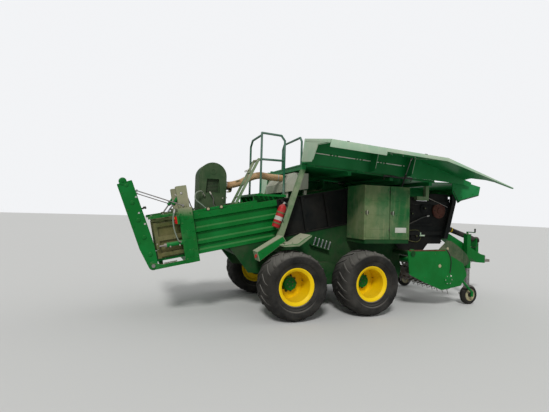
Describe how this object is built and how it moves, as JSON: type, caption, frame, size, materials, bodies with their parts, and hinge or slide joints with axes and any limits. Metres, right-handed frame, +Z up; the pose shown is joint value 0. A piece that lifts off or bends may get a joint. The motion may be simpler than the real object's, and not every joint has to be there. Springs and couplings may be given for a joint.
{
  "type": "large square baler",
  "caption": "Towed large square baler on a tandem axle: sloping bale channel, folded rear chute, raised side panel, pickup, drawbar with tow eye and parking jack.",
  "frame": {"origin": "centre of the tow eye's bore", "axes": "+X forward along the drawbar towards the tractor, +Y to the machine's left, +Z up along the eye's bore"},
  "size_m": [8.6437, 3.4328, 3.26],
  "materials": {
    "green_paint": "semi-gloss green enamel, dusty on top",
    "dusty_paint": "green enamel under straw dust",
    "rim_yellow": "gloss yellow enamel, chipped",
    "tyre": "worn black rubber with dry dust",
    "steel": "bare steel, dull",
    "cast": "painted casting, oily",
    "black_plastic": "matt black plastic",
    "hose": "tan ribbed air hose",
    "red_paint": "gloss red enamel",
    "lamp_red": "red lamp lens"
  },
  "bodies": {
    "machine": {"main_frame": "green_paint", "tandem_axle": "green_paint", "drawbar": "green_paint", "tow_eye": "steel", "jack_tube": "green_paint", "channel": "green_paint", "plunger_case": "cast", "density_frame": "green_paint", "density_cylinders": "steel", "chute_stay": "steel", "blower_housing": "dusty_paint", "air_hose": "hose", "knotter_cover": "dusty_paint", "platform": "green_paint", "guard_rails": "green_paint", "ladder": "dusty_paint", "hood_roof": "green_paint", "hood_posts": "dusty_paint", "front_hood": "green_paint", "front_pillars": "cast", "twine_box_left": "green_paint", "twine_box_right": "green_paint", "twine_doors_left": "green_paint", "fire_extinguisher": "red_paint", "mudguards": "dusty_paint", "feeder_housing": "green_paint", "needle_yoke": "green_paint", "gearbox": "cast", "pto_shaft": "black_plastic", "lamps": "lamp_red", "tension_springs": "steel"},
    "jack_leg": {"jack_foot": "steel"},
    "tension_left": {"tension_door_left": "green_paint"},
    "tension_right": {"tension_door_right": "green_paint"},
    "tension_top": {"tension_rail_top": "green_paint"},
    "chute": {"bale_chute": "green_paint"},
    "panel_left": {"side_panel_left": "green_paint", "panel_flange_left": "green_paint"},
    "panel_right": {"side_panel_right": "green_paint", "panel_flange_right": "green_paint"},
    "barrel_left": {"strut_barrel_left": "black_plastic"},
    "barrel_right": {"strut_barrel_right": "black_plastic"},
    "rod_left": {"strut_rod_left": "steel"},
    "rod_right": {"strut_rod_right": "steel"},
    "twine_lid_rear": {"twine_door_rear": "green_paint"},
    "twine_lid_front": {"twine_door_front": "green_paint"},
    "flywheel": {"flywheel": "green_paint"},
    "pickup": {"pickup_frame": "green_paint"},
    "reel": {"pickup_reel": "steel"},
    "guard": {"wind_guard": "green_paint"},
    "gauge_left": {"gauge_wheel_left": "tyre"},
    "gauge_right": {"gauge_wheel_right": "tyre"},
    "wheel_front_left": {"tyre_front_left": "tyre", "rim_front_left": "rim_yellow"},
    "wheel_front_right": {"tyre_front_right": "tyre", "rim_front_right": "rim_yellow"},
    "wheel_rear_left": {"tyre_rear_left": "tyre", "rim_rear_left": "rim_yellow"},
    "wheel_rear_right": {"tyre_rear_right": "tyre", "rim_rear_right": "rim_yellow"}
  },
  "joints": [
    {"name": "wheel_front_left_spin", "type": "hinge", "parent": "machine", "child": "wheel_front_left", "pos_m": [-4.275, 1.15, -0.18], "axis": [0, 1, 0], "continuous": true},
    {"name": "wheel_front_right_spin", "type": "hinge", "parent": "machine", "child": "wheel_front_right", "pos_m": [-4.275, -1.15, -0.18], "axis": [0, 1, 0], "continuous": true},
    {"name": "wheel_rear_left_spin", "type": "hinge", "parent": "machine", "child": "wheel_rear_left", "pos_m": [-5.725, 1.15, -0.18], "axis": [0, 1, 0], "continuous": true},
    {"name": "wheel_rear_right_spin", "type": "hinge", "parent": "machine", "child": "wheel_rear_right", "pos_m": [-5.725, -1.15, -0.18], "axis": [0, 1, 0], "continuous": true},
    {"name": "pickup_lift", "type": "hinge", "parent": "machine", "child": "pickup", "pos_m": [-3.25, 0, 0.33], "axis": [0, -1, 0], "range_deg": [0, 10]},
    {"name": "reel_spin", "type": "hinge", "parent": "pickup", "child": "reel", "pos_m": [-2.36, 0, -0.2], "axis": [0, 1, 0], "continuous": true},
    {"name": "guard_lift", "type": "hinge", "parent": "pickup", "child": "guard", "pos_m": [-2.36, 0, 0.24], "axis": [0, 1, 0], "range_deg": [-20, 0]},
    {"name": "gauge_left_spin", "type": "hinge", "parent": "pickup", "child": "gauge_left", "pos_m": [-1.64, 1.01, -0.56], "axis": [0, 1, 0], "continuous": true},
    {"name": "gauge_right_spin", "type": "hinge", "parent": "pickup", "child": "gauge_right", "pos_m": [-1.64, -1.01, -0.56], "axis": [0, 1, 0], "continuous": true},
    {"name": "panel_left_swing", "type": "hinge", "parent": "machine", "child": "panel_left", "pos_m": [-5.5, 0.9, 1.93], "axis": [0.9986, 0, -0.0523], "range_deg": [0, 80]},
    {"name": "panel_right_swing", "type": "hinge", "parent": "machine", "child": "panel_right", "pos_m": [-5.5, -0.9, 1.93], "axis": [0.9986, 0, -0.0523], "range_deg": [0, 80]},
    {"name": "strut_left_turn", "type": "hinge", "parent": "machine", "child": "barrel_left", "pos_m": [-3.3, 0.86, 1.57], "axis": [1, 0, 0], "range_deg": [0, 58]},
    {"name": "strut_right_turn", "type": "hinge", "parent": "machine", "child": "barrel_right", "pos_m": [-3.3, -0.86, 1.57], "axis": [1, 0, 0], "range_deg": [0, 58]},
    {"name": "strut_left_slide", "type": "slide", "parent": "barrel_left", "child": "rod_left", "axis": [0, 0.9945, 0.1046], "range_m": [0, 0.24]},
    {"name": "strut_right_slide", "type": "slide", "parent": "barrel_right", "child": "rod_right", "axis": [0, -0.4583, 0.8888], "range_m": [-0.24, 0]},
    {"name": "chute_fold", "type": "hinge", "parent": "machine", "child": "chute", "pos_m": [-7.965, 0, 0.12], "axis": [0, -1, 0], "range_deg": [0, 82]},
    {"name": "tension_left_squeeze", "type": "hinge", "parent": "machine", "child": "tension_left", "pos_m": [-7.39412, 0.626, 0.2725], "axis": [-0.1874, 0, 0.9823], "range_deg": [0, 4]},
    {"name": "tension_right_squeeze", "type": "hinge", "parent": "machine", "child": "tension_right", "pos_m": [-7.39412, -0.626, 0.2725], "axis": [0.1874, 0, -0.9823], "range_deg": [0, 4]},
    {"name": "tension_top_squeeze", "type": "hinge", "parent": "machine", "child": "tension_top", "pos_m": [-7.51513, 0, 0.93354], "axis": [0, -1, 0], "range_deg": [0, 5]},
    {"name": "twine_rear_open", "type": "hinge", "parent": "machine", "child": "twine_lid_rear", "pos_m": [-4.39, -1.265, 1.09], "axis": [0, 0, 1], "range_deg": [-110, 0]},
    {"name": "twine_front_open", "type": "hinge", "parent": "machine", "child": "twine_lid_front", "pos_m": [-3.42, -1.265, 1.09], "axis": [0, 0, -1], "range_deg": [-110, 0]},
    {"name": "flywheel_spin", "type": "hinge", "parent": "machine", "child": "flywheel", "pos_m": [-2.625, 0, 1.19], "axis": [1, 0, 0], "continuous": true},
    {"name": "jack_raise", "type": "slide", "parent": "machine", "child": "jack_leg", "axis": [0, 0, 1], "range_m": [0, 0.35]}
  ],
  "couplings": [
    {"joint": "strut_left_turn", "follows": "panel_left_swing", "ratio": 0.7089},
    {"joint": "strut_right_turn", "follows": "panel_right_swing", "ratio": 0.7089},
    {"joint": "strut_left_slide", "follows": "panel_left_swing", "m_per_rad": 0.1687},
    {"joint": "strut_right_slide", "follows": "panel_right_swing", "m_per_rad": -0.1687}
  ]
}
